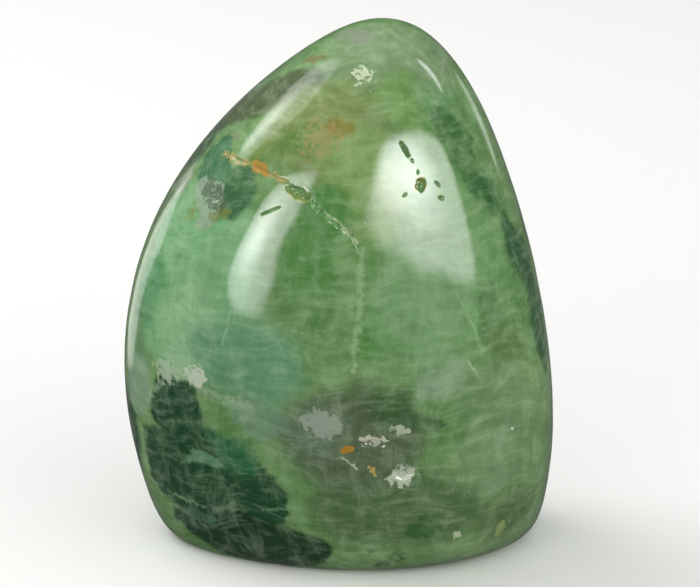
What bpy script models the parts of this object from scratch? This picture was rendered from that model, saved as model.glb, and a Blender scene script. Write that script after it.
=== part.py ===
"""A polished fluorite freeform: one lump of green fluorite, ground by hand to soft, rounded faces,
polished all over and cut flat underneath so that it stands. Metres, +Z up, the front faces -Y."""

import math

import bmesh
import bpy
from mathutils import Matrix, Vector, noise

MM = 0.001

HEIGHT = 100 * MM  # from the flat base to the rounded peak
HEART = Vector((0, 0, 48)) * MM  # the point inside that the ground faces are measured from
CRISPNESS = 6  # how sharply one ground face turns into the next: polishing lowers it
ROLL_UNDER = 8 * MM  # height over which the sides roll under into the flat base
CELLS = 22  # mesh cells along each side of the cube that is blown up into the stone

# The faces that the stone was ground to before polishing. Azimuth runs round from the front (0)
# past the right side (90), tilt is upwards, and the distance is from HEART in millimetres.
GROUND_FACES = {
    "front": (4, 8, 26.5),
    "front right": (46, 9, 40.5),
    "right": (90, 16, 41.0),
    "back right": (134, 8, 39.5),
    "back": (178, 9, 26.5),
    "back left": (226, 10, 41.0),
    "left": (270, -19, 46.5),
    "front left": (313, 8, 35.0),
    "upper left slope": (270, 47, 36.5),
    "left flank": (270, 15, 38.0),
    "right flank": (90, 23, 53.0),
    "upper front": (10, 42, 45.0),
    "upper back": (175, 45, 46.5),
    "upper front left": (315, 42, 41.0),
    "upper front right": (50, 40, 44.0),
    "toe front left": (332, -15, 33.5),
    "toe front right": (24, -40, 51.5),
    "low back": (182, -24, 36.5),
    "lower right": (90, -10, 49.0),
}

# Natural hollows that the polish did not reach: azimuth and tilt seen from HEART, then length,
# width and depth in millimetres, and the turn of the length away from level, in degrees.
PITS = {
    "olive_pit": (39.5, 44, 2.7, 2.0, 1.1, 75),
    "slot_pit": (36, 53.5, 3.6, 1.2, 0.9, -62),
    "fissure_pit": (-11, 46, 6.0, 1.9, 0.9, -22),
    "chipped_neck_pit": (-51, 40, 4.4, 2.6, 0.6, 35),
    "low_upper_flake_pit": (16, -36, 4.6, 1.6, 0.6, 8),
    "low_lower_flake_pit": (25, -41, 3.4, 1.9, 0.6, 25),
}
PIT_ROUGHNESS = 0.25  # how far a pit's wall strays from an ellipsoid, as a share of its size

# The healed crack across the upper front, as azimuth and tilt seen from HEART.
FISSURE_ROUTE = [(-59, 52), (-45, 52), (-31, 50), (-20, 49), (-8, 45), (0, 39), (10, 34), (13, 29)]
FISSURE_WIDTH = 0.9 * MM
FISSURE_DEPTH = 0.6 * MM
FISSURE_TAPER = 0.35  # width and depth left at the ends, as a share of the middle


def direction(azimuth, tilt):
    """The unit vector that looks out at this azimuth and upward tilt, both in degrees."""
    azimuth, tilt = math.radians(azimuth), math.radians(tilt)
    level = math.cos(tilt)
    return Vector((math.sin(azimuth) * level, -math.cos(azimuth) * level, math.sin(tilt)))


def smooth_maximum(a, b, width):
    """The larger of two numbers, with the change from one to the other rounded over width."""
    overlap = max(width - abs(a - b), 0) / width
    return max(a, b) + overlap * overlap * width / 4


def ground_planes():
    """Each ground face as its outward normal and its distance from the heart in metres."""
    return [
        (direction(azimuth, tilt), distance * MM)
        for azimuth, tilt, distance in GROUND_FACES.values()
    ]


def ground_point(outward, planes):
    """Where a ray from the heart leaves the ground form. The faces are blended into one another,
    and what would reach below the base is flattened onto it."""
    total = 0
    for normal, distance in planes:
        total += max(normal.dot(outward) / distance, 0) ** CRISPNESS
    point = HEART + outward * total ** (-1 / CRISPNESS)
    point.z = smooth_maximum(point.z, 0, ROLL_UNDER)
    return point


def cube_directions(bm):
    """Turns a subdivided cube's vertices into unit directions with cells of nearly one size."""
    for vertex in bm.verts:
        warped = Vector(math.tan(value * math.pi / 4) for value in vertex.co)
        vertex.co = warped.normalized()


def refine_roll(bm, planes):
    """Halves the cells around the base, where the stone turns under more tightly than elsewhere."""
    rolling = {
        vertex
        for vertex in bm.verts
        if 0 < ground_point(vertex.co, planes).z < ROLL_UNDER
    }
    edges = [edge for edge in bm.edges if rolling.intersection(edge.verts)]
    bmesh.ops.subdivide_edges(bm, edges=edges, cuts=1, use_grid_fill=True)
    for vertex in bm.verts:
        vertex.co.normalize()


def merge_flat_base(bm):
    """Makes one face of all that was flattened onto the base."""
    flat = [face for face in bm.faces if all(vertex.co.z == 0 for vertex in face.verts)]
    bmesh.ops.dissolve_faces(bm, faces=flat, use_verts=True)


def finished_object(name, bm):
    mesh = bpy.data.meshes.new(name)
    bm.to_mesh(mesh)
    bm.free()
    obj = bpy.data.objects.new(name, mesh)
    bpy.context.scene.collection.objects.link(obj)
    return obj


def fluorite_material():
    """Clear to cloudy green fluorite with a glassy polish."""
    material = bpy.data.materials.new("polished green fluorite")
    material.use_nodes = True
    shader = material.node_tree.nodes["Principled BSDF"]
    shader.inputs["Base Color"].default_value = (0.19, 0.33, 0.15, 1)
    shader.inputs["Metallic"].default_value = 0
    shader.inputs["Roughness"].default_value = 0.08
    shader.inputs["IOR"].default_value = 1.434
    return material


def make_stone(planes):
    """The stone's ground form, still measured from where the heart was set."""
    bm = bmesh.new()
    bmesh.ops.create_cube(bm, size=2)
    bmesh.ops.subdivide_edges(bm, edges=bm.edges, cuts=CELLS - 1, use_grid_fill=True)
    cube_directions(bm)
    refine_roll(bm, planes)
    for vertex in bm.verts:
        vertex.co = ground_point(vertex.co, planes)
    merge_flat_base(bm)
    bmesh.ops.triangulate(bm, faces=bm.faces)
    stone = finished_object("fluorite_freeform", bm)
    stone.data.materials.append(fluorite_material())
    return stone


def standing_matrix(stone):
    """Scales the ground form to HEIGHT and moves the middle of its box above the origin."""
    points = [vertex.co for vertex in stone.data.vertices]
    low = Vector(min(point[axis] for point in points) for axis in range(3))
    high = Vector(max(point[axis] for point in points) for axis in range(3))
    middle = Vector(((low.x + high.x) / 2, (low.y + high.y) / 2, low.z))
    return Matrix.Scale(HEIGHT / (high.z - low.z), 4) @ Matrix.Translation(-middle)


def surface_frame(azimuth, tilt, turn, planes):
    """A frame on the surface: X along a line turned from level, Z straight out of the stone."""
    here = ground_point(direction(azimuth, tilt), planes)
    level = ground_point(direction(azimuth + 1, tilt), planes) - here
    rising = ground_point(direction(azimuth, tilt + 1), planes) - here
    out = level.cross(rising).normalized()
    level.normalize()
    axes = Matrix((level, out.cross(level), out)).transposed().to_4x4()
    return Matrix.Translation(here) @ axes @ Matrix.Rotation(math.radians(turn), 4, "Z")


def make_pit_cutter(name, pit, seed, planes):
    """A lumpy ellipsoid, half sunk in the surface, that leaves an open pit with a sharp rim."""
    azimuth, tilt, length, width, depth, turn = pit
    size = Matrix.Diagonal((length / 2 * MM, width / 2 * MM, depth * MM, 1))
    place = surface_frame(azimuth, tilt, turn, planes)
    bm = bmesh.new()
    bmesh.ops.create_icosphere(bm, subdivisions=2, radius=1)
    for vertex in bm.verts:
        lump = noise.noise(vertex.co * 1.7 + Vector((seed, 0, 0)))
        vertex.co = place @ size @ (vertex.co * (1 + PIT_ROUGHNESS * lump))
    return finished_object(name, bm)


def make_fissure_cutter(planes):
    """A tapering blade of diamond section that follows the crack along the surface."""
    route = [ground_point(direction(*place), planes) for place in FISSURE_ROUTE]
    heart_side = [direction(*place) for place in FISSURE_ROUTE]
    last = len(route) - 1
    bm = bmesh.new()
    rings = []
    for index, (point, out) in enumerate(zip(route, heart_side)):
        along = route[min(index + 1, last)] - route[max(index - 1, 0)]
        side = along.cross(out).normalized()
        size = FISSURE_TAPER + (1 - FISSURE_TAPER) * math.sin(math.pi * index / last)
        reach = [
            side * FISSURE_WIDTH / 2 * size + out * FISSURE_DEPTH * 0.3,
            out * FISSURE_DEPTH * 2,
            -side * FISSURE_WIDTH / 2 * size + out * FISSURE_DEPTH * 0.3,
            -out * FISSURE_DEPTH * size,
        ]
        rings.append([bm.verts.new(point + offset) for offset in reach])
    for ring, following in zip(rings, rings[1:]):
        for corner in range(4):
            beside = (corner + 1) % 4
            bm.faces.new((ring[corner], ring[beside], following[beside], following[corner]))
    bm.faces.new(rings[0])
    bm.faces.new(reversed(rings[-1]))
    bmesh.ops.triangulate(bm, faces=bm.faces)
    bmesh.ops.recalc_face_normals(bm, faces=bm.faces)
    return finished_object("fissure_cutter", bm)


def carve(stone, cutter):
    cutter.hide_render = True
    cutter.display_type = "WIRE"
    cut = stone.modifiers.new(cutter.name, "BOOLEAN")
    cut.operation = "DIFFERENCE"
    cut.solver = "EXACT"
    cut.object = cutter


def main():
    for obj in list(bpy.data.objects):
        bpy.data.objects.remove(obj)

    planes = ground_planes()
    stone = make_stone(planes)
    cutters = [make_fissure_cutter(planes)]
    for seed, (name, pit) in enumerate(PITS.items()):
        cutters.append(make_pit_cutter(name + "_cutter", pit, seed, planes))

    standing = standing_matrix(stone)
    for obj in [stone, *cutters]:
        obj.data.transform(standing)
    for cutter in cutters:
        carve(stone, cutter)

    stone.data.shade_smooth()
    stone.data.set_sharp_from_angle(angle=math.radians(40))


main()
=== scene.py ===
import itertools
import math

import bmesh
import bpy
import numpy as np
from mathutils import Matrix, Vector, noise
from mathutils.bvhtree import BVHTree


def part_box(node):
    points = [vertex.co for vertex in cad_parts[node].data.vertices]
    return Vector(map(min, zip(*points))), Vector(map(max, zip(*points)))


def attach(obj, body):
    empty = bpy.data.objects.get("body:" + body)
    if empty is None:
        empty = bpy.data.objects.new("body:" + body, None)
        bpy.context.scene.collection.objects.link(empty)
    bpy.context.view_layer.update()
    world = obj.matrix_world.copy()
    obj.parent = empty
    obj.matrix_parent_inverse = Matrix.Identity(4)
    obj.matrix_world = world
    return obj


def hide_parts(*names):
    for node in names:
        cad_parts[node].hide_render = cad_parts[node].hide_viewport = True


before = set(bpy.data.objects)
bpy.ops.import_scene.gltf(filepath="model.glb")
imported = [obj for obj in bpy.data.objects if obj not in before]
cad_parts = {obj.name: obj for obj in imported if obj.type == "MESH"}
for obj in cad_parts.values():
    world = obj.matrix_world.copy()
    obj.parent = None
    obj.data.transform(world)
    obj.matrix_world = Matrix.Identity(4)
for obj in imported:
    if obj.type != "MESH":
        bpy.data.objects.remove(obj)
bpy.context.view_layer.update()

mm = 0.001
print("fluorite: frame loaded")


# Camera: the photo looks slightly down on the stone from the front

camera = {
    "lens": 190,  # mm on a 36 mm sensor
    "elevation": 16,  # degrees above level
    "distance": 694,  # mm from the point that it looks at
    "lookAt": (2.2, 0, 48.5),  # mm
    "photoSize": (700, 587),  # pixels
}


def makeCamera():
    data = bpy.data.cameras.new("camera")
    data.lens = camera["lens"]
    data.sensor_width = 36
    tilt = math.radians(camera["elevation"])
    back = Vector((0, -math.cos(tilt), math.sin(tilt)))
    made = bpy.data.objects.new("camera", data)
    made.location = (Vector(camera["lookAt"]) + back * camera["distance"]) * mm
    made.rotation_euler = (math.pi / 2 - tilt, 0, 0)
    bpy.context.scene.collection.objects.link(made)
    bpy.context.scene.camera = made
    bpy.context.view_layer.update()


def photoRay(x, y):
    # from the camera through a pixel of the photo, in mm
    wide, high = camera["photoSize"]
    perPixel = 36 / camera["lens"] / wide
    local = Vector(((x - wide / 2) * perPixel, (high / 2 - y) * perPixel, -1))
    eye = bpy.context.scene.camera
    return eye.location / mm, (eye.matrix_world.to_3x3() @ local).normalized()


# Form: one lump ground to rounded faces, polished, and cut flat underneath

stoneShape = {
    "crispness": 6,  # how sharply one ground face turns into the next
    "rollUnder": 8,  # mm of height over which the sides roll under into the base
    "heart": (0, 0, 48),  # mm, the point inside that the ground faces are measured from
    "cells": 92,  # mesh cells along each side of the cube that is blown up into the stone
    "wave": 0.12,  # mm that grinding by hand leaves the surface off true
    "waveLength": 17,  # mm
}

# azimuth round from the front (0) past the right side (90), upward tilt, distance in mm
groundFaces = {
    "front": (4, 8, 26.5),
    "front right": (46, 9, 40.5),
    "right": (90, 16, 41.0),
    "back right": (134, 8, 39.5),
    "back": (178, 9, 26.5),
    "back left": (226, 10, 41.0),
    "left": (270, -19, 46.5),
    "front left": (313, 8, 35.0),
    "upper left slope": (270, 47, 36.5),
    "left flank": (270, 15, 38.0),
    "right flank": (90, 23, 53.0),
    "upper front": (10, 42, 45.0),
    "upper back": (175, 45, 46.5),
    "upper front left": (315, 42, 41.0),
    "upper front right": (50, 40, 44.0),
    "toe front left": (332, -15, 33.5),
    "toe front right": (24, -40, 51.5),
    "low back": (182, -24, 36.5),
    "lower right": (90, -10, 49.0),
}

# hollows that the polish missed: pixel of the photo, then length, width, depth in mm and turn
pits = {
    "olive pit": ((421, 184), (2.7, 2.0, 1.1), 75),
    "slot pit": ((405, 149), (3.6, 1.1, 0.9), -62),
    "slot pit's tail": ((412, 160), (0.8, 0.5, 0.4), -50),
    "dot by the olive pit": ((418, 172), (0.7, 0.5, 0.4), 80),
    "speck left of the olive pit": ((405, 195), (1.0, 0.4, 0.3), 30),
    "speck right of it": ((438, 184), (1.1, 0.5, 0.4), -50),
    "specks below right": ((442, 198), (1.3, 0.8, 0.4), -20),
    "fissure pit": ((299, 193), (5.4, 2.0, 0.9), -24),
    "scratch below it": ((272, 210), (4.2, 0.4, 0.3), 24),
    "chipped neck": ((216, 195), (4.4, 2.6, 0.4), -25),
    "upper flake": ((372, 444), (4.6, 1.5, 0.4), -6),
    "lower flake": ((404, 474), (4.0, 2.2, 0.4), 20),
}

fissure = {
    "seenAt": [(222, 152), (240, 160), (262, 170), (285, 182), (303, 193), (320, 211),
               (336, 224), (352, 236), (358, 250)],
    "width": 0.9,  # mm
    "depth": 0.45,
}


def lookOut(azimuth, tilt):
    azimuth, tilt = np.radians(azimuth), np.radians(tilt)
    level = np.cos(tilt)
    return np.stack([np.sin(azimuth) * level, -np.cos(azimuth) * level, np.sin(tilt)], axis=-1)


def smoothMaximum(a, b, width):
    overlap = np.maximum(width - np.abs(a - b), 0) / width
    return np.maximum(a, b) + overlap * overlap * width / 4


def groundForm(outward):
    # where rays from the heart leave the ground form, in mm
    faces = np.array(list(groundFaces.values()), float)
    crispness = stoneShape["crispness"]
    nearness = outward @ lookOut(faces[:, 0], faces[:, 1]).T / faces[:, 2]
    total = (np.maximum(nearness, 0) ** crispness).sum(axis=1)
    points = stoneShape["heart"] + outward * total[:, None] ** (-1 / crispness)
    points[:, 2] = smoothMaximum(points[:, 2], 0, stoneShape["rollUnder"])
    return points


def standingForm(outward, box):
    # the ground form brought into the solid's box, in mm
    formLow, formHigh, boxLow, boxHigh = box
    share = (groundForm(outward) - formLow) / (formHigh - formLow)
    return boxLow + share * (boxHigh - boxLow)


def vertexArray(bm):
    return np.array([vertex.co[:] for vertex in bm.verts])


def cubeDirections(cells):
    bm = bmesh.new()
    bmesh.ops.create_cube(bm, size=2)
    bmesh.ops.subdivide_edges(bm, edges=bm.edges, cuts=cells - 1, use_grid_fill=True)
    for vertex in bm.verts:
        vertex.co = Vector(math.tan(value * math.pi / 4) for value in vertex.co).normalized()
    return bm


def refineNear(bm, box, places, reach):
    # halves the cells within reach of the places, so that small relief is real mesh
    points = standingForm(vertexArray(bm), box)
    near = np.zeros(len(points), bool)
    for place in places:
        near |= ((points - place) ** 2).sum(axis=1) < reach * reach
    chosen = {vertex for vertex, keep in zip(bm.verts, near) if keep}
    edges = [edge for edge in bm.edges if chosen.issuperset(edge.verts)]
    bmesh.ops.subdivide_edges(bm, edges=edges, cuts=1, use_grid_fill=True)
    for vertex in bm.verts:
        vertex.co.normalize()


def standsOn(tree, start, along):
    # where a ray meets the stone, in mm, and the surface's frame there: level, rising, outward
    place, out, _, _ = tree.ray_cast(Vector(start), Vector(along))
    if out.dot(Vector(along)) > 0:
        out = -out
    level = Vector((0, 0, 1)).cross(out).normalized()
    return place, Matrix((level, out.cross(level), out)).transposed()


def seenAt(tree, x, y):
    return standsOn(tree, *photoRay(x, y))


def aroundAt(tree, azimuth, tilt):
    out = lookOut(azimuth, tilt)
    return standsOn(tree, np.array(stoneShape["heart"]) + out * 200, -out)


def turned(axes, turn):
    return axes @ Matrix.Rotation(math.radians(turn), 3, "Z")


def routeDistance(points, route):
    # distance from each point to a line of straight stretches, and how far along it lies (0 to 1)
    nearest = np.full(len(points), 1e9)
    along = np.zeros(len(points))
    for index, (start, end) in enumerate(zip(route, route[1:])):
        run = end - start
        share = np.clip((points - start) @ run / (run @ run), 0, 1)
        away = np.linalg.norm(points - start - share[:, None] * run, axis=1)
        closer = away < nearest
        nearest[closer] = away[closer]
        along[closer] = (index + share[closer]) / (len(route) - 1)
    return nearest, along


def noiseAt(points, waveLength, seed):
    shift = Vector((seed, -seed, 2 * seed))
    return np.array([noise.noise(Vector(point) / waveLength + shift) for point in points])


def pitSink(points, place, axes, size):
    # how far a pit sinks the surface: steep walls, a rough floor
    local = (points - np.array(place)) @ np.array(axes)
    length, width, depth = size
    away = np.hypot(local[:, 0] / (length / 2), local[:, 1] / (width / 2))
    inside = np.flatnonzero((away < 1.4) & (np.abs(local[:, 2]) < 3))
    sink = np.zeros(len(points))
    rim = away[inside] * (1 + 0.35 * noiseAt(points[inside], 0.9, length))
    bowl = np.sqrt(np.clip(1 - rim ** 3, 0, 1))
    sink[inside] = depth * bowl * (1 + 0.5 * noiseAt(points[inside], 0.45, width))
    return sink


def fissureSink(points, route):
    away, along = routeDistance(points, route)
    inside = np.flatnonzero(away < 1.5)
    sink = np.zeros(len(points))
    broken = noiseAt(points[inside], 1.1, 5)
    width = fissure["width"] * (0.55 + 0.7 * broken) * np.sin(np.pi * along[inside] * 0.9 + 0.3)
    wall = np.clip(1 - away[inside] / np.maximum(width, 0.05), 0, 1)
    sink[inside] = fissure["depth"] * wall
    return sink


def makeStone():
    nodeLow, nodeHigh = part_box("fluorite_freeform")
    bm = cubeDirections(stoneShape["cells"])
    plain = groundForm(vertexArray(bm))
    box = (plain.min(axis=0), plain.max(axis=0), np.array(nodeLow) / mm, np.array(nodeHigh) / mm)

    rough = standingForm(vertexArray(bm), box)
    faces = [[vertex.index for vertex in face.verts] for face in bm.faces]
    tree = BVHTree.FromPolygons([tuple(point) for point in rough], faces)

    placed = {name: seenAt(tree, *pit[0]) for name, pit in pits.items()}
    route = [np.array(seenAt(tree, *pixel)[0]) for pixel in fissure["seenAt"]]
    fine = [np.array(place) for place, _ in placed.values()]
    for start, end in zip(route, route[1:]):
        fine += [start + (end - start) * share for share in (0, 1 / 3, 2 / 3)]
    refineNear(bm, box, fine, 3.2)
    refineNear(bm, box, fine, 2.0)

    points = standingForm(vertexArray(bm), box)
    for vertex, point in zip(bm.verts, points):
        vertex.co = point
    bm.normal_update()
    outward = vertexNormals(bm)

    sink = stoneShape["wave"] * (noiseAt(points, stoneShape["waveLength"], 3) + 1) / 2
    sink += 0.35 * stoneShape["wave"] * noiseAt(points, stoneShape["waveLength"] / 3, 8)
    sink += fissureSink(points, route)
    for name, (_, size, turn) in pits.items():
        place, axes = placed[name]
        sink += pitSink(points, place, turned(axes, turn), size)
    sink *= np.clip((points[:, 2] - 0.5) / 6, 0, 1)  # the flat base stays flat
    for vertex, point, out, depth in zip(bm.verts, points, outward, sink):
        vertex.co = Vector(point - out * depth) * mm

    bmesh.ops.triangulate(bm, faces=bm.faces)
    bmesh.ops.recalc_face_normals(bm, faces=bm.faces)
    mesh = bpy.data.meshes.new("polished_fluorite")
    bm.to_mesh(mesh)
    bm.free()
    mesh.shade_smooth()
    stone = bpy.data.objects.new("polished_fluorite", mesh)
    bpy.context.scene.collection.objects.link(stone)
    print("fluorite: stone mesh,", len(mesh.polygons), "triangles")
    return stone, tree


def vertexNormals(bm):
    return np.array([vertex.normal[:] for vertex in bm.verts])


# Material: cloudy green fluorite with a glassy polish

fluorite = {
    "ior": 1.434,
    "roughness": 0.07,
    "pitRoughness": 0.6,
    "subsurface": 0.3,
    "subsurfaceScale": 2.5,  # mm
    "body": ("#5a8849", "#6f985c", "#86ab70"),  # darkest, middle and lightest of the clouds
    "cloudSize": 20,  # mm
}

# Zones are ellipsoids of colour inside the stone, painted over one another from first to last:
# where, half width and half height in mm, turn, how soft the edge is, how much of the colour,
# which edge it has, colour
frontZones = {
    "green right side": ((440, 260), (15, 20), 0, 0.7, 0.8, "ragged", "#75a067"),
    # the grey of the top is a painted reflection laid over the stone's own green
    "grey green top with painted reflection": ((395, 52), (17, 9), 0, 0.7, 0.95, "calm", "#7f9a70"),
    "green under the top": ((402, 100), (8, 5), 0, 0.8, 0.9, "ragged", "#779d5a"),
    "teal behind the top": ((438, 104), (4, 4), 0, 0.8, 0.6, "ragged", "#6f9a6c"),
    "brown left slope": ((262, 96), (19, 6), 42, 0.5, 0.95, "calm", "#53613f"),
    "dark edge of the slope": ((207, 141), (4.5, 4.5), 0, 0.5, 0.9, "ragged", "#33583a"),
    "pale patch on the slope": ((232, 142), (3, 1.8), 30, 0.7, 0.6, "ragged", "#7f8d69"),
    "olive crown": ((318, 126), (13, 9), 20, 0.7, 0.95, "ragged", "#82955a"),
    "yellow green middle": ((358, 190), (7, 13), 0, 0.7, 0.9, "ragged", "#8bac68"),
    "vivid green of the slope": ((295, 141), (4, 3), 10, 0.8, 0.8, "ragged", "#5f863f"),
    "vivid green by the crack": ((270, 156), (2.8, 2.8), 0, 0.8, 0.7, "ragged", "#5f863f"),
    "vivid green under the crack": ((322, 250), (7, 12), 0, 0.7, 0.95, "ragged", "#568c47"),
    "green right of the column": ((371, 264), (3, 5.5), 0, 0.8, 0.8, "ragged", "#5f8f4c"),
    "pale column": ((348, 290), (2.8, 12), 0, 0.8, 0.6, "ragged", "#8fb57c"),
    "green spot low in the middle": ((371, 337), (3.3, 3.3), 0, 0.7, 0.8, "ragged", "#4f8b40"),
    "pale green right": ((425, 305), (9, 11), 0, 0.8, 0.7, "ragged", "#80aa76"),
    "green left of the middle": ((300, 338), (9, 9), 0, 0.8, 0.8, "ragged", "#6c965c"),
    "dark patch above": ((312, 330), (2, 2), 0, 0.8, 0.6, "ragged", "#4f7f42"),
    "dark patch below": ((299, 370), (2, 2), 0, 0.8, 0.6, "ragged", "#4f7f42"),
    "mint belly": ((183, 276), (15, 20), 0, 0.25, 1.0, "calm", "#7fb37f"),
    "teal left edge": ((147, 288), (4.5, 8), 0, 0.7, 0.85, "calm", "#5d9a66"),
    "green left strip": ((137, 350), (3, 11), 0, 0.6, 0.85, "calm", "#6a9466"),
    "mint heart": ((190, 333), (7, 10), -10, 0.8, 0.9, "calm", "#9ac494"),
    "teal neck": ((214, 166), (8, 4.5), -30, 0.2, 0.98, "ragged", "#437850"),
    "dark neck": ((237, 192), (5, 6), 0, 0.25, 0.98, "ragged", "#406c45"),
    "chipped grey patch": ((206, 197), (7, 3), -35, 0.3, 0.9, "ragged", "#98ae95"),
    "chipped grey corner": ((186, 176), (3.6, 3.6), 0, 0.4, 0.8, "ragged", "#b3c1ab"),
    "teal belt": ((245, 362), (11, 8), -10, 0.6, 0.9, "ragged", "#6ea079"),
    "pale veil": ((440, 382), (6, 3), 10, 0.9, 0.8, "ragged", "#93b08f"),
    "green wedge": ((490, 322), (3, 7), 0, 0.6, 0.8, "ragged", "#5c8450"),
    "brown green patch": ((510, 345), (5, 4.5), 0, 0.6, 0.9, "ragged", "#66864f"),
    # These five darken the right side: partly the stone's own dark green, partly painted shade
    # where the side turns away from the light
    "dark right edge with painted shade": ((536, 305), (4, 13), 0, 0.6, 0.9, "ragged", "#2f5c35"),
    "top of the dark band with painted shade": ((448, 126), (3, 3), 0, 0.5, 0.9, "ragged", "#3d6a3a"),
    "dark band with painted shade": ((468, 160), (3, 8), 12, 0.6, 0.85, "ragged", "#44703c"),
    "dark spot on the right with painted shade": ((490, 192), (3.6, 3.6), 0, 0.6, 0.9, "ragged", "#2f5f35"),
    "dark spot below it with painted shade": ((516, 248), (4, 7), 8, 0.6, 0.95, "ragged", "#335c38"),
    "pale lower right": ((505, 430), (9, 13), 0, 0.7, 0.85, "ragged", "#78966a"),
    "upright pale band": ((503, 455), (2, 8), 0, 0.8, 0.6, "ragged", "#88a57c"),
    "olive right foot": ((508, 515), (8, 6), 0, 0.8, 0.9, "ragged", "#5c7748"),
    "green foot": ((400, 512), (18, 9), 0, 0.7, 0.95, "ragged", "#557248"),
    "grey patch": ((350, 440), (13, 10), 0, 0.5, 1.0, "ragged", "#58694b"),
    "grey patch's left": ((312, 430), (6, 6), 0, 0.7, 0.8, "ragged", "#6d8168"),
    "dark spot over the grey": ((388, 403), (4, 3.5), 0, 0.7, 0.8, "ragged", "#3f6238"),
    "dark bar over the grey": ((415, 425), (5.5, 2), 0, 0.8, 0.8, "ragged", "#4c6a46"),
    "dark streak in the foot": ((422, 530), (5, 1.8), 0, 0.7, 0.8, "ragged", "#3a6635"),
    "dark spot at the base": ((392, 560), (3, 1.5), 0, 0.7, 0.8, "ragged", "#335c2e"),
    "grey shoulder": ((262, 420), (6, 3.5), -20, 0.7, 0.8, "ragged", "#76977b"),
    "pale wedge": ((137, 382), (4.5, 6.5), -20, 0.4, 0.9, "calm", "#84a484"),
    "green sliver": ((131, 428), (2.2, 5), 0, 0.4, 0.9, "calm", "#3b6540"),
    "dark peak": ((176, 412), (7, 7), 0, 0.12, 1.0, "ragged", "#15452a"),
    "dark lower left": ((207, 480), (17, 11.5), -12, 0.14, 1.0, "ragged", "#1d4a2c"),
    "dark foot": ((245, 540), (18, 6.5), -5, 0.4, 0.95, "ragged", "#163520"),
    "green window in the dark": ((233, 452), (5, 4), 0, 0.7, 0.85, "ragged", "#307046"),
    "light window in the dark": ((196, 458), (4.6, 2), 10, 0.6, 0.85, "ragged", "#6b9874"),
    "patch under the dark vein": ((192, 512), (4.2, 1.8), -10, 0.7, 0.7, "ragged", "#4d7657"),
}

# Small marks lie on top of the wisps
frontMarks = {
    "rusty spot of the crown": ((341, 127), (2.6, 2), 0, 0.9, 0.7, "frayed", "#8b7828"),
    "rusty flecks of the crown": ((323, 137), (3.2, 3.2), 0, 0.4, 0.6, "crumbled", "#aaa068"),
    "rusty cap": ((314, 58), (3, 1.4), 30, 0.5, 0.6, "crumbled", "#86704a"),
    # a painted grey reflection at the apex, mixed in at half strength over the stone's colour
    "painted grey reflection at the apex": ((354, 34), (5, 2.5), 0, 0.9, 0.5, "frayed", "#989b90"),
    "top flecks": ((362, 75), (1.6, 1.6), 0, 0.3, 0.8, "crumbled", "#d7e3c4"),
    "rusty start of the crack": ((260, 167), (2.4, 1.1), -30, 0.5, 0.8, "crumbled", "#b98e3e"),
    "olive of the fissure pit": ((299, 195), (2.6, 1.1), -28, 0.6, 0.9, "frayed", "#8b9a50"),
    "olive pit": ((421, 184), (1.5, 1.2), 75, 0.4, 1.0, "frayed", "#8f9455"),
    "slot pit": ((405, 149), (2.0, 0.6), -62, 0.6, 0.8, "frayed", "#788a6a"),
    "rust in the chips": ((219, 213), (2.8, 1.2), 20, 0.6, 0.7, "crumbled", "#808c4c"),
    "rust by the edge": ((192, 212), (1.4, 1.4), 0, 0.6, 0.7, "crumbled", "#84904f"),
    "dark crumbs in the chips": ((213, 195), (4.6, 2.2), -25, 0.4, 0.7, "crumbled", "#54694e"),
    "white crumbs at the peak": ((196, 377), (2.4, 1.8), -20, 0.4, 0.9, "crumbled", "#cdd8c2"),
    "pale crumbs left of it": ((166, 371), (2.2, 2.2), 0, 0.5, 0.7, "crumbled", "#b9cbae"),
    "crumbs in the grey": ((322, 424), (4, 2.4), -15, 0.4, 0.7, "crumbled", "#a3b3a0"),
    "rusty speck": ((347, 449), (1.4, 0.8), 10, 0.6, 0.9, "frayed", "#b7872b"),
    "upper flakes": ((374, 440), (2.8, 0.8), -6, 0.5, 0.9, "crumbled", "#cbd0b6"),
    "flakes right of them": ((400, 430), (1.9, 0.8), -12, 0.5, 0.85, "crumbled", "#bcc8a8"),
    "yellow fleck": ((372, 470), (1.4, 0.6), -50, 0.5, 0.9, "crumbled", "#c3ac5c"),
    "lower flakes": ((403, 475), (2.5, 1.7), 25, 0.4, 0.9, "crumbled", "#c8d2bc"),
    "dot on the right": ((513, 427), (0.4, 0.4), 0, 0.6, 0.95, "frayed", "#e8f3dc"),
    "base fleck": ((457, 535), (0.6, 0.6), 0, 0.6, 0.8, "crumbled", "#cfdcae"),
    "yellow flecks of the foot": ((500, 529), (1, 2), 0, 0.4, 0.7, "crumbled", "#a8b878"),
}

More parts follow.
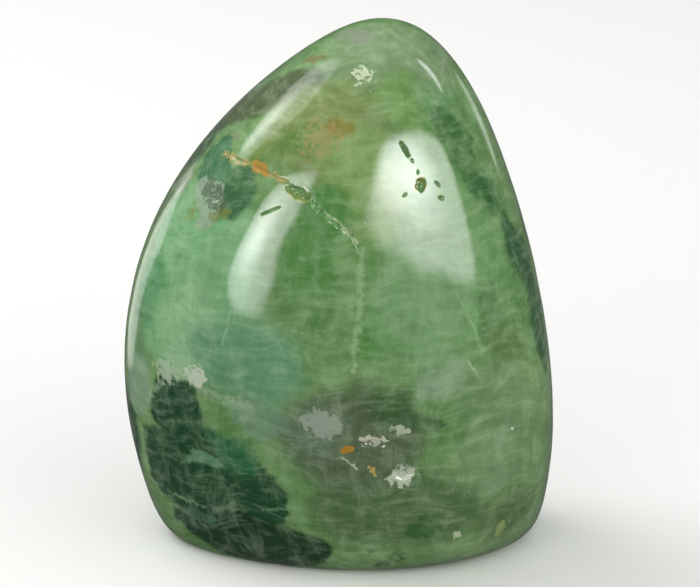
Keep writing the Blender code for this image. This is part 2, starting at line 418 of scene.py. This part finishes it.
# the same round the sides, the back and the base: azimuth and tilt from the heart
roundZones = {
    "olive back crown": ((165, 48), (14, 9), 0, 0.7, 0.9, "ragged", "#7f9558"),
    "grey green back top": ((230, 62), (14, 8), 0, 0.7, 0.9, "calm", "#74906a"),
    "mint back": ((215, 5), (16, 16), 0, 0.3, 1.0, "calm", "#7bae7e"),
    "mint back heart": ((222, 0), (8, 11), 20, 0.8, 0.9, "calm", "#9ac494"),
    "dark left flank": ((262, -32), (11, 10), 0, 0.2, 1.0, "ragged", "#1b4c2b"),
    "dark back foot": ((200, -47), (19, 7), 0, 0.2, 1.0, "ragged", "#1e4a2a"),
    "window in the back foot": ((205, -38), (4.5, 2.2), 0, 0.7, 0.8, "ragged", "#5f9068"),
    "vivid green back": ((160, 15), (8, 12), 0, 0.7, 0.9, "ragged", "#588c47"),
    "grey back patch": ((150, -28), (11, 8), 0, 0.6, 0.95, "ragged", "#5f7054"),
    "pale back veil": ((178, -8), (9, 3.5), 0, 0.9, 0.8, "ragged", "#93b090"),
    "dark right back band": ((112, 20), (6, 16), 10, 0.6, 0.9, "ragged", "#33603a"),
    "teal right side": ((92, -12), (8, 13), 0, 0.7, 0.85, "ragged", "#6c9c78"),
    "dark right foot": ((95, -42), (9, 5), 0, 0.6, 0.9, "ragged", "#2f5a36"),
    "brown left slope behind": ((255, 38), (8, 8), 0, 0.7, 0.9, "calm", "#5c6c46"),
}

roundMarks = {
    "rusty speck behind": ((172, 30), (1.6, 1.0), 20, 0.5, 0.9, "crumbled", "#b08433"),
    "flakes behind": ((150, -20), (3.4, 1.6), 15, 0.4, 0.9, "crumbled", "#c3ceb6"),
    "crumbs behind": ((205, 22), (4, 2.4), -20, 0.4, 0.7, "crumbled", "#c0d0b4"),
    "crumbs on the right": ((88, 5), (2.6, 1.5), 40, 0.4, 0.8, "crumbled", "#b9c9a8"),
}

# Veins: pixels of the photo, half width in mm, how soft, how much, which edge, colour
veins = {
    "rusty crack": ([(224, 154), (243, 162), (262, 170), (285, 183)], 0.5, 0.8, 0.8,
                    "crumbled", "#b9a768"),
    "cream crack": ([(286, 185), (303, 188), (313, 203), (322, 212)], 0.3, 0.8, 0.95, "frayed",
                    "#e3e8c8"),
    "white crack end": ([(322, 212), (340, 224), (356, 243)], 0.28, 0.9, 0.8, "crumbled",
                        "#c3d4aa"),
    "upright vein": ([(361, 250), (359, 320), (352, 372)], 0.5, 1.0, 0.45, "crumbled",
                     "#b0cc9c"),
    "right boundary": ([(456, 290), (468, 316), (484, 350)], 0.3, 1.0, 0.5, "frayed",
                       "#9dc090"),
    "white fleck line": ([(469, 361), (477, 376)], 0.22, 0.8, 0.7, "frayed", "#bcd2aa"),
    "lower right arc": ([(496, 390), (512, 371), (546, 360)], 0.5, 1.0, 0.4, "frayed",
                        "#9dba90"),
    "rim over the dark": ([(148, 400), (163, 378), (180, 370), (203, 390), (245, 405)], 0.7,
                          1.0, 0.55, "crumbled", "#a3bc9c"),
    "vein in the dark": ([(150, 478), (185, 499), (204, 507)], 0.35, 0.9, 0.7, "crumbled",
                         "#83a277"),
    "level vein in the dark": ([(212, 507), (292, 510)], 0.3, 0.9, 0.6, "crumbled", "#6f9874"),
    "curved white line": ([(342, 457), (350, 462), (358, 470)], 0.2, 0.8, 0.9, "frayed",
                          "#c9d2ba"),
    "line by the mint": ([(222, 345), (231, 312)], 0.25, 1.0, 0.5, "frayed", "#a9cf9f"),
}

# Edges: noise pushes them about (its size in mm, its detail, how far in mm) and crumbles them
edges = {
    "calm": (14, 1, 8, 0),
    "ragged": (9, 5, 11, 0),
    "frayed": (2.2, 3, 2.2, 0.8),
    "crumbled": (2.2, 3, 2.2, 5),
}


def linear(hexColour):
    parts = [int(hexColour[start:start + 2], 16) / 255 for start in (1, 3, 5)]
    return tuple(v / 12.92 if v <= 0.04045 else ((v + 0.055) / 1.055) ** 2.4 for v in parts) + (1,)


def add(tree, kind, inputs=None, **settings):
    # adds a node, sets it, and fills or links its sockets
    node = tree.nodes.new(kind)
    for name, value in settings.items():
        setattr(node, name, value)
    for socket, value in (inputs or {}).items():
        if isinstance(value, bpy.types.NodeSocket):
            tree.links.new(value, node.inputs[socket])
        else:
            node.inputs[socket].default_value = value
    return node


def wanderingEdges(tree, where):
    # for each kind of edge, coordinates that noise pushes about
    made = {}
    for name, (size, detail, reach, _) in edges.items():
        lumps = add(tree, "ShaderNodeTexNoise", {
            "Vector": where, "Scale": 1 / size, "Detail": detail, "Roughness": 0.6})
        centred = add(tree, "ShaderNodeVectorMath",
                      {0: lumps.outputs["Color"], 1: (0.5, 0.5, 0.5)}, operation="SUBTRACT")
        made[name] = add(tree, "ShaderNodeVectorMath",
                         {0: centred.outputs[0], 1: (reach, reach, reach), 2: where},
                         operation="MULTIPLY_ADD").outputs[0]
    return made


def edgeMask(tree, away, crumbs, core, skin, look):
    # from how far away a place is: all of the colour near the core, none outside the skin
    softness, amount, edge = look
    crumble = edges[edge][-1] * (skin - core)
    if crumble:
        away = add(tree, "ShaderNodeMath", {0: crumbs, 1: crumble, 2: away},
                   operation="MULTIPLY_ADD").outputs[0]
    return add(tree, "ShaderNodeMapRange", {
        "Value": away, "From Min": skin - (skin - core) * softness,
        "From Max": skin + (skin - core) * softness, "To Min": amount, "To Max": 0},
        interpolation_type="SMOOTHSTEP").outputs["Result"]


def zoneMasks(tree, wandering, crumbs, zones, placeAt):
    # an ellipsoid is where the distances to two points inside it add up to less than its length
    for where, (across, up), turn, *look, tint in zones.values():
        place, axes = placeAt(*where)
        long, short = max(across, up), min(across, up)
        inner = math.sqrt(long ** 2 - short ** 2)
        lengthwise = turned(axes, turn).col[0 if across > up else 1] * inner
        away = None
        for end in (place - lengthwise, place + lengthwise)[:2 if inner else 1]:
            reach = add(tree, "ShaderNodeVectorMath", {0: wandering[look[2]], 1: end},
                        operation="DISTANCE").outputs["Value"]
            if away:
                reach = add(tree, "ShaderNodeMath", {0: away, 1: reach}).outputs[0]
            away = reach
        sums = 2 if inner else 1
        yield edgeMask(tree, away, crumbs, sums * inner, sums * long, look), tint


def veinMasks(tree, wandering, crumbs, surface):
    # how far each place is from a line of straight stretches
    for pixels, width, *look, tint in veins.values():
        route = [seenAt(surface, *pixel)[0] for pixel in pixels]
        where = wandering[look[2]]
        nearest = None
        for start, end in zip(route, route[1:]):
            run = end - start
            fromStart = add(tree, "ShaderNodeVectorMath", {0: where, 1: start},
                            operation="SUBTRACT").outputs[0]
            share = add(tree, "ShaderNodeVectorMath", {0: fromStart, 1: run / run.dot(run)},
                        operation="DOT_PRODUCT").outputs["Value"]
            held = add(tree, "ShaderNodeClamp", {"Value": share}).outputs[0]
            reached = add(tree, "ShaderNodeVectorMath", {0: run, "Scale": held},
                          operation="SCALE").outputs[0]
            away = add(tree, "ShaderNodeVectorMath", {0: fromStart, 1: reached},
                       operation="DISTANCE").outputs["Value"]
            if nearest:
                away = add(tree, "ShaderNodeMath", {0: nearest, 1: away},
                           operation="MINIMUM").outputs[0]
            nearest = away
        yield edgeMask(tree, nearest, crumbs, 0, width, look), tint


# Wisps: how they are stretched (shares across and up), what their grain measures in mm,
# and how much they lighten and darken
wisps = {
    "level": ((0.22, 1), 1.5, 0.5, 0.5),
    "upright": ((1, 0.3), 2.2, 0.35, 0.35),
    "mottle": ((1, 1), 4.5, 0.35, 0.35),
}


def wispMasks(tree, where):
    # fine streaks and mottling, some lighter and some darker
    for (across, up), size, lighter, darker in wisps.values():
        stretch = (across / size, across / size, up / size)
        streaks = add(tree, "ShaderNodeVectorMath", {0: where, 1: stretch},
                      operation="MULTIPLY").outputs[0]
        fibres = add(tree, "ShaderNodeTexNoise", {"Vector": streaks, "Scale": 1, "Detail": 4,
                                                  "Roughness": 0.65}).outputs["Fac"]
        for end, amount, tint in ((1, lighter, "#c2dcb6"), (0, darker, "#1f4726")):
            mask = add(tree, "ShaderNodeMapRange", {
                "Value": fibres, "From Min": 0.5, "From Max": end, "To Max": amount}).outputs[0]
            yield mask, tint


def speckMasks(tree, where):
    # small bright specks inside the stone
    grains = add(tree, "ShaderNodeTexNoise", {"Vector": where, "Scale": 0.9, "Detail": 3,
                                              "Roughness": 0.75}).outputs["Fac"]
    specks = add(tree, "ShaderNodeMapRange", {
        "Value": grains, "From Min": 0.68, "From Max": 0.8, "To Max": 0.7})
    yield specks.outputs[0], "#cfe2bd"


def fluoriteMaterial(surface):
    material = bpy.data.materials.new("polished green fluorite")
    material.use_nodes = True
    tree = material.node_tree
    tree.nodes.clear()
    place = add(tree, "ShaderNodeTexCoord").outputs["Object"]
    inMm = add(tree, "ShaderNodeVectorMath", {0: place, "Scale": 1 / mm},
               operation="SCALE").outputs[0]
    wandering = wanderingEdges(tree, inMm)
    crumbNoise = add(tree, "ShaderNodeTexNoise", {"Vector": inMm, "Scale": 1.1, "Detail": 2})
    crumbs = add(tree, "ShaderNodeMath", {0: crumbNoise.outputs["Fac"], 1: 0.5},
                 operation="SUBTRACT").outputs[0]

    # body: soft clouds of green within green
    clouds = add(tree, "ShaderNodeTexNoise", {
        "Vector": wandering["ragged"], "Scale": 1 / fluorite["cloudSize"], "Detail": 5,
        "Roughness": 0.6}).outputs["Fac"]
    body = add(tree, "ShaderNodeValToRGB", {"Fac": clouds})
    ramp = body.color_ramp.elements
    darkest, middle, lightest = fluorite["body"]
    ramp[0].position, ramp[0].color = 0.35, linear(darkest)
    ramp[1].position, ramp[1].color = 0.65, linear(lightest)
    ramp.new(0.5).color = linear(middle)

    seen = lambda x, y: seenAt(surface, x, y)
    around = lambda azimuth, tilt: aroundAt(surface, azimuth, tilt)
    layers = itertools.chain(
        zoneMasks(tree, wandering, crumbs, roundZones, around),
        zoneMasks(tree, wandering, crumbs, frontZones, seen),
        wispMasks(tree, wandering["calm"]),
        veinMasks(tree, wandering, crumbs, surface),
        zoneMasks(tree, wandering, crumbs, roundMarks, around),
        zoneMasks(tree, wandering, crumbs, frontMarks, seen),
        speckMasks(tree, inMm),
    )
    # each mask is mixed in as soon as it is made, because a shader holds few values at a time
    colour = body.outputs["Color"]
    for mask, tint in layers:
        colour = add(tree, "ShaderNodeMix", {"Factor": mask, "A": colour, "B": linear(tint)},
                     data_type="RGBA").outputs["Result"]

    grain = add(tree, "ShaderNodeTexNoise", {"Vector": inMm, "Scale": 2.2, "Detail": 2})
    bump = add(tree, "ShaderNodeBump", {"Height": grain.outputs["Fac"], "Strength": 0.04,
                                        "Distance": 0.1 * mm})
    shader = add(tree, "ShaderNodeBsdfPrincipled", {
        "Base Color": colour,
        "Roughness": fluorite["roughness"],
        "IOR": fluorite["ior"],
        "Subsurface Weight": fluorite["subsurface"],
        "Subsurface Radius": (0.6, 1.0, 0.6),
        "Subsurface Scale": fluorite["subsurfaceScale"] * mm,
        "Normal": bump.outputs[0],
    })
    add(tree, "ShaderNodeOutputMaterial", {"Surface": shader.outputs[0]})
    print("fluorite: material,", len(tree.nodes), "nodes")
    return material


# Studio: soft boxes round the stone. Each is two lights in one place, one that only the polish
# mirrors and one that only lights the body, so that each can be set by itself.

softBoxes = {
    # azimuth, tilt and distance from the stone; width, height and how far the top leans over in
    # mm; glow in the polish; its hot spot (across and up from -1 to 1, size), the gain there;
    # power for the body in W
    "right soft box": (44, 23.6, 900, 860, 590, 415, 8, (-0.35, 0.1, 0.9), 16, 5.0),
    "left soft box": (-26.5, 12, 900, 520, 750, 320, 8, (-0.15, 0.0, 0.8), 14, 4.0),
    "upper left soft box": (-122, 45.4, 900, 590, 610, 150, 2.5, (0, -0.5, 0.7), 5, 5.0),
    "back right strip": (118, 38, 900, 60, 270, 30, 6, (0, 0, 1), 2, 0),
    "back right card": (143, 7, 900, 120, 190, 0, 1.2, (0, 0, 1), 0, 0),
    "back left card": (-143, -7, 900, 400, 390, 0, 1.2, (0, 0, 1), 0, 0),
}
edgeBlur = 0.3  # how much of a box's half size its glow fades over


def placeLight(name, azimuth, tilt, distance, width, height, power):
    data = bpy.data.lights.new(name, "AREA")
    data.shape = "RECTANGLE"
    data.size = width * mm
    data.size_y = height * mm
    data.energy = power
    made = bpy.data.objects.new(name, data)
    out = Vector(lookOut(azimuth, tilt))
    made.location = Vector((0, 0, 60 * mm)) + out * distance * mm
    made.rotation_euler = out.to_track_quat("Z", "Y").to_euler()
    made.visible_camera = False
    bpy.context.scene.collection.objects.link(made)
    return made


def makeSoftBox(name, box):
    azimuth, tilt, distance, width, height, lean, glow, hotSpot, gain, mattPower = box
    reach = width + abs(lean)
    placing = (azimuth, tilt, distance, reach, height)
    mirrored = placeLight(name + " in the polish", *placing, math.pi * reach * height * mm * mm)
    mirrored.visible_diffuse = False
    mirrored.visible_transmission = False
    mirrored.data.use_nodes = True
    tree = mirrored.data.node_tree
    tree.nodes.clear()
    where = add(tree, "ShaderNodeNewGeometry").outputs["Parametric"]
    centred = add(tree, "ShaderNodeVectorMath", {0: where, 1: (0.5, 0.5, 0)},
                  operation="SUBTRACT").outputs[0]
    across = add(tree, "ShaderNodeVectorMath",
                 {0: centred, 1: (2 * reach / width, -2 * lean / width, 0)},
                 operation="DOT_PRODUCT").outputs["Value"]
    up = add(tree, "ShaderNodeVectorMath", {0: centred, 1: (0, 2, 0)},
             operation="DOT_PRODUCT").outputs["Value"]
    inBox = add(tree, "ShaderNodeCombineXYZ", {"X": across, "Y": up}).outputs[0]
    squared = add(tree, "ShaderNodeVectorMath", {0: inBox, 1: inBox},
                  operation="MULTIPLY").outputs[0]
    away = add(tree, "ShaderNodeVectorMath", {0: squared, 1: squared},
               operation="DOT_PRODUCT").outputs["Value"]
    inside = add(tree, "ShaderNodeMapRange", {
        "Value": away, "From Min": (1 - edgeBlur) ** 4, "From Max": 1, "To Min": 1, "To Max": 0},
        interpolation_type="SMOOTHSTEP").outputs["Result"]
    x, y, size = hotSpot
    fromSpot = add(tree, "ShaderNodeVectorMath", {0: inBox, 1: (x, y, 0)},
                   operation="DISTANCE").outputs["Value"]
    hot = add(tree, "ShaderNodeMapRange", {
        "Value": fromSpot, "From Min": 0, "From Max": size, "To Min": glow + gain,
        "To Max": glow}, interpolation_type="SMOOTHSTEP").outputs["Result"]
    strength = add(tree, "ShaderNodeMath", {0: hot, 1: inside}, operation="MULTIPLY")
    light = add(tree, "ShaderNodeEmission", {"Strength": strength.outputs[0]})
    add(tree, "ShaderNodeOutputLight", {"Surface": light.outputs[0]})
    if mattPower:
        matt = placeLight(name, *placing, mattPower)
        matt.visible_glossy = False


def makeWorld():
    # white to the camera, dim to the polish, and for the rest a soft fill from above
    world = bpy.data.worlds.new("studio")
    world.use_nodes = True
    tree = world.node_tree
    tree.nodes.clear()
    direction = add(tree, "ShaderNodeTexCoord").outputs["Generated"]
    height = add(tree, "ShaderNodeSeparateXYZ", {0: direction}).outputs["Z"]
    fill = add(tree, "ShaderNodeMapRange", {"Value": height, "From Min": -0.5, "From Max": 0.5,
                                            "To Min": 0.2, "To Max": 0.65}).outputs[0]
    ray = add(tree, "ShaderNodeLightPath").outputs
    seen = add(tree, "ShaderNodeMapRange", {"Value": ray["Is Camera Ray"], "To Min": fill,
                                            "To Max": 1.0})
    strength = add(tree, "ShaderNodeMapRange", {"Value": ray["Is Glossy Ray"],
                                                "To Min": seen.outputs[0], "To Max": 0.12})
    sky = add(tree, "ShaderNodeBackground", {"Color": (1, 1, 1, 1),
                                             "Strength": strength.outputs[0]})
    add(tree, "ShaderNodeOutputWorld", {"Surface": sky.outputs[0]})
    bpy.context.scene.world = world


def makeFloor():
    bm = bmesh.new()
    bmesh.ops.create_grid(bm, x_segments=1, y_segments=1, size=3)
    mesh = bpy.data.meshes.new("floor")
    bm.to_mesh(mesh)
    bm.free()
    floor = bpy.data.objects.new("floor", mesh)
    bpy.context.scene.collection.objects.link(floor)
    floor.visible_glossy = False
    floor.visible_diffuse = False
    material = bpy.data.materials.new("pale matt card")
    material.use_nodes = True
    shader = material.node_tree.nodes["Principled BSDF"]
    shader.inputs["Base Color"].default_value = linear("#f3f3f1")
    shader.inputs["Roughness"].default_value = 0.9
    mesh.materials.append(material)
    return floor


makeCamera()
stone, surface = makeStone()
stone.data.materials.append(fluoriteMaterial(surface))
for name, box in softBoxes.items():
    makeSoftBox(name, box)
makeWorld()
floor = makeFloor()
bpy.context.scene.view_settings.view_transform = "Standard"

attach(stone, "root")
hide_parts("fluorite_freeform")

print("fluorite: done")
